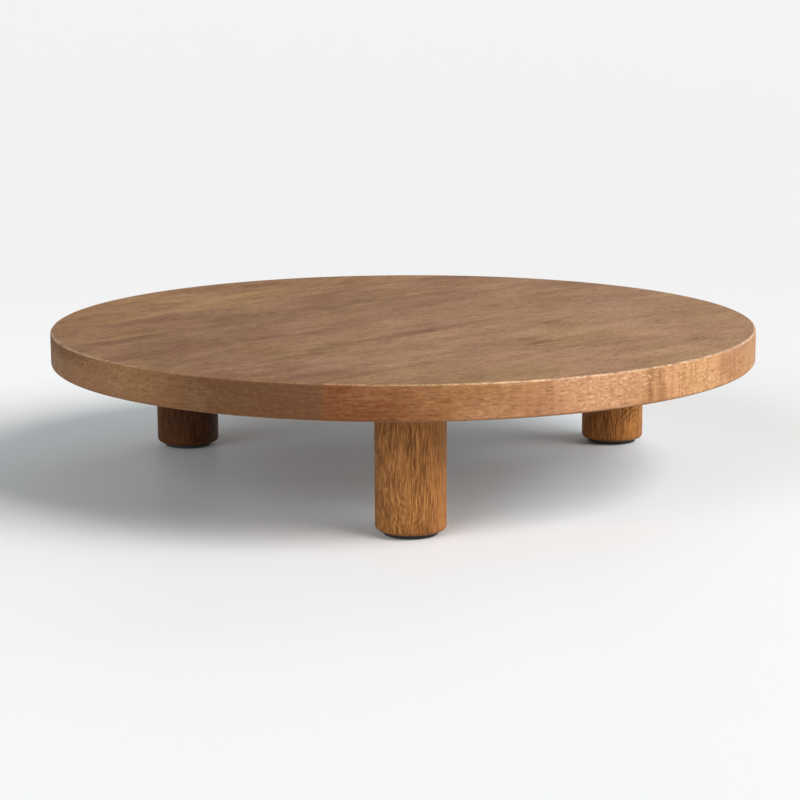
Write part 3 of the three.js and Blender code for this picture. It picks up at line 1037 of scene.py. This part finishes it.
class SERVING_BOARD_OT_fixings(Operator):
    """Plate the screws and washers inside the feet"""

    bl_idname = "serving_board.fixings"
    bl_label = "Screws and Washers"

    def execute(self, context):
        zinc = zinc_steel()
        for place in PLACES:
            for kind in ("screw", "washer"):
                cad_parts[f"foot_{kind}_{place}"].material_slots[0].material = zinc
        return {"FINISHED"}


class Lamp(NamedTuple):
    """A soft light from far away, with angles in degrees"""

    tint: tuple
    fills: float  # angle that the light fills
    round_from: float  # where it stands, round from +X
    above: float  # and above the floor


class SERVING_BOARD_OT_stage(Operator):
    """Set up the pale floor, the studio light and the camera"""

    bl_idname = "serving_board.stage"
    bl_label = "Stage"

    FLOOR_REACH = 40.0  # in metres
    # Painted tints of the floor: painted shade far behind the board, and under it a cool tint that cancels
    # the warm light bounced from the wood, with where they set in, in millimetres
    FAR_TINT, FAR_BACK = (0.955, 0.94, 0.935), (100.0, 900.0)
    UNDER_TINT, UNDER_CENTRE = (1.0, 1.08, 1.13), (40.0, 40.0, 0.0)
    UNDER_REACH, UNDER_RIGHT = (120.0, 220.0), (-120.0, 80.0)
    KEY = Lamp(tint=(1.0, 0.98, 0.965), fills=40.0, round_from=-28.5, above=36.8)
    SIDE = Lamp(tint=(0.82, 0.94, 1.0), fills=34.0, round_from=0.0, above=15.0)
    FILL = Lamp(tint=(0.83, 0.945, 1.0), fills=50.0, round_from=-130.0, above=18.0)
    BACK = Lamp(tint=(0.86, 0.96, 1.0), fills=34.0, round_from=50.0, above=13.0)
    ROOM_TINT = (0.95, 0.98, 1.0)
    CAMERA_PLACE = Vector((-0.0301, -1.2659, 0.2850))
    CAMERA_TILT, CAMERA_HEADING, CAMERA_ROLL = 10.891, -1.274, -0.2703  # in degrees, with the tilt downwards
    SENSOR = 36.0  # in millimetres
    SIGHT = 200.0  # how far the camera sees, in metres

    def execute(self, context):
        stage = context.scene.serving_board.stage
        self.lay_floor(context.scene, stage)
        self.light(context.scene, stage)
        self.point_camera(context.scene, stage)
        context.scene.view_settings.view_transform = "Standard"
        return {"FINISHED"}

    def lay_floor(self, scene, stage):
        material, wires, shader, place = new_finish("studio_floor")
        x, y, _ = wires.separate(place)
        cloud = wires.noise(place, cell=(420.0,) * 3)
        paler = rgba(stage.floor, (1.01,) * 3)
        base = wires.mix(wires.ramp(cloud, 0.3, 0.7, 0.0, 0.5), rgba(stage.floor), paler)
        # Painted shade: the floor darkens far behind the board
        base = wires.mix(wires.ramp(y, *self.FAR_BACK), base, rgba(stage.floor, self.FAR_TINT))
        # Painted cool tint under the board, against the wood's warm bounce light
        apart = wires.vector("LENGTH", wires.vector("SUBTRACT", place, self.UNDER_CENTRE))
        under = wires.ramp(apart, *self.UNDER_REACH, 1.0, 0.0)
        under = wires.product(under, wires.ramp(x, *self.UNDER_RIGHT))
        base = wires.mix(under, base, rgba(stage.floor, self.UNDER_TINT))
        wires.feed(shader.inputs["Base Color"], base)
        shader.inputs["Roughness"].default_value = 0.45
        shader.inputs["Specular IOR Level"].default_value = 0.07
        reach = self.FLOOR_REACH
        mesh = bpy.data.meshes.new("studio_floor")
        corners = [(-reach, -reach, 0), (reach, -reach, 0), (reach, reach, 0), (-reach, reach, 0)]
        mesh.from_pydata(corners, [], [(0, 1, 2, 3)])
        mesh.materials.append(material)
        floor = bpy.data.objects.new("studio_floor", mesh)
        scene.collection.objects.link(floor)

    def light(self, scene, stage):
        for name, power, lamp in (
            ("key_light", stage.key_strength, self.KEY),
            ("side_light", stage.side_strength, self.SIDE),
            ("fill_light", stage.fill_strength, self.FILL),
            ("back_light", stage.back_strength, self.BACK),
        ):
            sun = bpy.data.lights.new(name, "SUN")
            sun.energy = power
            sun.color = lamp.tint
            sun.angle = math.radians(lamp.fills)
            light = bpy.data.objects.new(name, sun)
            turn, rise = math.radians(lamp.round_from), math.radians(lamp.above)
            level = math.cos(rise)
            towards = Vector((level * math.cos(turn), level * math.sin(turn), math.sin(rise)))
            light.rotation_euler = towards.to_track_quat("Z", "Y").to_euler()
            scene.collection.objects.link(light)

        world = bpy.data.worlds.new("studio_light")
        world.use_nodes = True
        scene.world = world
        wires = Wiring(world.node_tree)
        path = wires.node("ShaderNodeLightPath").outputs
        seen = wires.math("MAXIMUM", path["Is Camera Ray"], path["Is Glossy Ray"])
        seen = wires.math("MAXIMUM", seen, path["Is Transmission Ray"])
        room = [stage.room_strength * c for c in self.ROOM_TINT]
        sky = world.node_tree.nodes["Background"]
        wires.feed(sky.inputs["Color"], wires.mix(seen, rgba(room), rgba(stage.backdrop)))

    def point_camera(self, scene, stage):
        lens = bpy.data.cameras.new("camera")
        lens.lens = stage.lens
        lens.sensor_width = self.SENSOR
        lens.clip_end = self.SIGHT
        camera = bpy.data.objects.new("camera", lens)
        turn = (
            Matrix.Rotation(math.radians(self.CAMERA_HEADING), 4, "Z")
            @ Matrix.Rotation(math.radians(90 - self.CAMERA_TILT), 4, "X")
            @ Matrix.Rotation(math.radians(self.CAMERA_ROLL), 4, "Z")
        )
        camera.matrix_world = Matrix.Translation(self.CAMERA_PLACE) @ turn
        scene.collection.objects.link(camera)
        scene.camera = camera


class SERVING_BOARD_PT_panel(Panel):
    """Lists the steps that make the serving board"""

    bl_idname = "SERVING_BOARD_PT_panel"
    bl_label = "Serving Board"
    bl_space_type = "VIEW_3D"
    bl_region_type = "UI"
    bl_category = "Serving Board"

    def draw(self, context):
        for step in STEPS:
            self.layout.operator(step.bl_idname)
        settings = context.scene.serving_board
        for part in (settings.board, settings.foot, settings.pad, settings.finish, settings.stage):
            box = self.layout.box()
            for name in part.__annotations__:
                box.prop(part, name)


SETTINGS = (BoardSettings, FootSettings, PadSettings, FinishSettings, StageSettings, ServingBoardSettings)
STEPS = (
    SERVING_BOARD_OT_staves,
    SERVING_BOARD_OT_feet,
    SERVING_BOARD_OT_pads,
    SERVING_BOARD_OT_fixings,
    SERVING_BOARD_OT_stage,
)


def register():
    for kind in (*SETTINGS, *STEPS, SERVING_BOARD_PT_panel):
        bpy.utils.register_class(kind)
    bpy.types.Scene.serving_board = PointerProperty(type=ServingBoardSettings)


def unregister():
    del bpy.types.Scene.serving_board
    for kind in reversed((*SETTINGS, *STEPS, SERVING_BOARD_PT_panel)):
        bpy.utils.unregister_class(kind)


def main():
    register()
    bpy.ops.serving_board.staves()
    bpy.ops.serving_board.feet()
    bpy.ops.serving_board.pads()
    bpy.ops.serving_board.fixings()
    bpy.ops.serving_board.stage()


if __name__ == "__main__":
    main()
